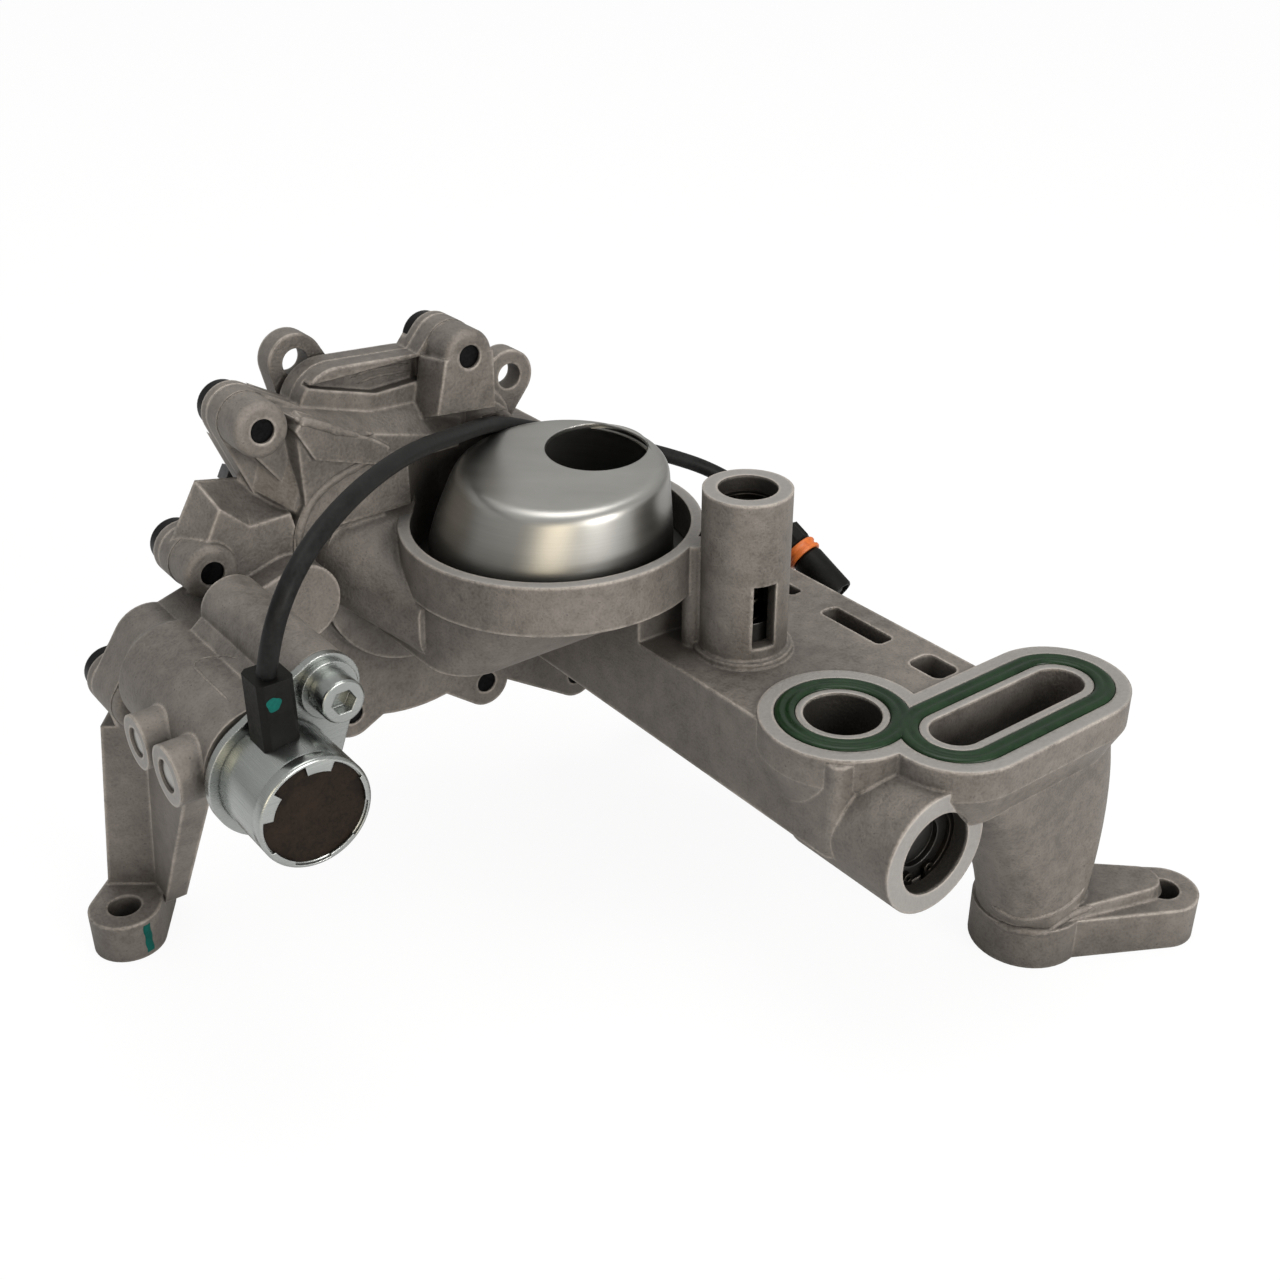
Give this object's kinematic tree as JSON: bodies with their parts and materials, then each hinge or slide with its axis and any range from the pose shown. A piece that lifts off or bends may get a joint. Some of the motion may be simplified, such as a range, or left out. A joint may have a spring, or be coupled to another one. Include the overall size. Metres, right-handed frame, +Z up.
{
  "type": "engine oil pump",
  "caption": "Cast engine oil pump with a steel-capped pickup bowl, a ported arm and neck, a relief valve column and a cabled control solenoid.",
  "frame": {"origin": "midway between the two outer engine bolts, on the engine face that the feet stand on", "axes": "+Z up off the engine face, +X along the arm away from the pump and parallel to the pump shaft, +Y across it"},
  "size_m": [0.2154, 0.2364, 0.149],
  "materials": {
    "cast": "bead-blasted casting",
    "cover_cast": "bead-blasted casting",
    "steel": "satin",
    "zinc": "bright zinc plate",
    "black_bolt": "black oxide",
    "hardened": "ground",
    "spring_steel": "oil-tempered wire",
    "bronze": "sintered bronze",
    "sinter": "sintered steel, matte",
    "gasket_green": "moulded rubber",
    "black_rubber": "satin cable sheath",
    "black_plastic": "moulded",
    "brown_plastic": "moulded end cap",
    "orange_seal": "silicone",
    "copper": "wound wire with tape",
    "mesh_steel": "woven mesh"
  },
  "bodies": {
    "housing": {"pump_housing": "cast", "rear_cover": "cover_cast", "cover_bolts": "black_bolt", "cover_dowels": "hardened", "front_bush": "bronze", "rear_bush": "bronze", "pivot_pin": "hardened", "inlet_cap": "steel", "screen_frame": "black_plastic", "strainer_screen": "mesh_steel", "port_gasket": "gasket_green", "relief_plug": "hardened", "relief_retaining_ring": "spring_steel", "check_plug": "hardened", "check_retaining_ring": "spring_steel", "passage_plugs": "steel", "solenoid_can": "zinc", "solenoid_end_cap": "brown_plastic", "solenoid_coil": "copper", "solenoid_core": "hardened", "solenoid_bracket": "zinc", "bracket_washer": "zinc", "bracket_bolt": "zinc", "lead_block": "black_plastic", "solenoid_cable": "black_rubber", "cable_connector": "black_plastic", "connector_seal": "orange_seal", "control_spring": "spring_steel", "relief_spring": "spring_steel", "check_spring": "spring_steel", "spool_spring": "spring_steel"},
    "shaft": {"drive_shaft": "hardened", "drive_sprocket": "sinter", "sprocket_bolt": "black_bolt", "rotor": "sinter"},
    "control_ring": {"control_ring": "sinter"},
    "ring_front": {"vane_ring_front": "hardened"},
    "ring_rear": {"vane_ring_rear": "hardened"},
    "relief_piston": {"relief_piston": "hardened"},
    "check_poppet": {"check_poppet": "hardened"},
    "spool": {"valve_spool": "hardened"},
    "vane_1": {"vane_1": "hardened"},
    "vane_2": {"vane_2": "hardened"},
    "vane_3": {"vane_3": "hardened"},
    "vane_4": {"vane_4": "hardened"},
    "vane_5": {"vane_5": "hardened"},
    "vane_6": {"vane_6": "hardened"},
    "vane_7": {"vane_7": "hardened"}
  },
  "joints": [
    {"name": "shaft_spin", "type": "hinge", "parent": "housing", "child": "shaft", "pos_m": [-0.0885, -0.021, 0.088], "axis": [1, 0, 0], "continuous": true},
    {"name": "ring_swing", "type": "hinge", "parent": "housing", "child": "control_ring", "pos_m": [-0.0885, -0.054, 0.0855], "axis": [1, 0, 0], "range_deg": [0, 3.64], "stiffness_Nm_per_rad": 9, "springref_deg": -1.72, "deforming": ["control_spring"]},
    {"name": "ring_front_spin", "type": "hinge", "parent": "control_ring", "child": "ring_front", "pos_m": [-0.0885, -0.021, 0.0855], "axis": [1, 0, 0], "continuous": true},
    {"name": "ring_rear_spin", "type": "hinge", "parent": "control_ring", "child": "ring_rear", "pos_m": [-0.0885, -0.021, 0.0855], "axis": [1, 0, 0], "continuous": true},
    {"name": "relief_lift", "type": "slide", "parent": "housing", "child": "relief_piston", "axis": [0, 0, 1], "range_m": [0, 0.008], "stiffness_N_per_m": 900, "springref_m": -0.008, "deforming": ["relief_spring"]},
    {"name": "check_lift", "type": "slide", "parent": "housing", "child": "check_poppet", "axis": [1, 0, 0], "range_m": [0, 0.005], "stiffness_N_per_m": 300, "springref_m": -0.004, "deforming": ["check_spring"]},
    {"name": "spool_shift", "type": "slide", "parent": "housing", "child": "spool", "axis": [1, 0, 0], "range_m": [0, 0.0025], "stiffness_N_per_m": 600, "springref_m": -0.003, "deforming": ["spool_spring"]},
    {"name": "vane_1_slide", "type": "slide", "parent": "shaft", "child": "vane_1", "axis": [0, 1, 0], "range_m": [-0.0008, 0]},
    {"name": "vane_2_slide", "type": "slide", "parent": "shaft", "child": "vane_2", "axis": [0, 0.6235, 0.7818], "range_m": [-0.0008, 0]},
    {"name": "vane_3_slide", "type": "slide", "parent": "shaft", "child": "vane_3", "axis": [0, -0.2225, 0.9749], "range_m": [-0.0008, 0]},
    {"name": "vane_4_slide", "type": "slide", "parent": "shaft", "child": "vane_4", "axis": [0, -0.901, 0.4339], "range_m": [-0.0008, 0]},
    {"name": "vane_5_slide", "type": "slide", "parent": "shaft", "child": "vane_5", "axis": [0, -0.901, -0.4339], "range_m": [-0.0008, 0]},
    {"name": "vane_6_slide", "type": "slide", "parent": "shaft", "child": "vane_6", "axis": [0, -0.2225, -0.9749], "range_m": [-0.0008, 0]},
    {"name": "vane_7_slide", "type": "slide", "parent": "shaft", "child": "vane_7", "axis": [0, 0.6235, -0.7818], "range_m": [-0.0008, 0]}
  ],
  "couplings": [
    {"joint": "ring_front_spin", "follows": "shaft_spin", "ratio": 1},
    {"joint": "ring_rear_spin", "follows": "shaft_spin", "ratio": 1}
  ]
}
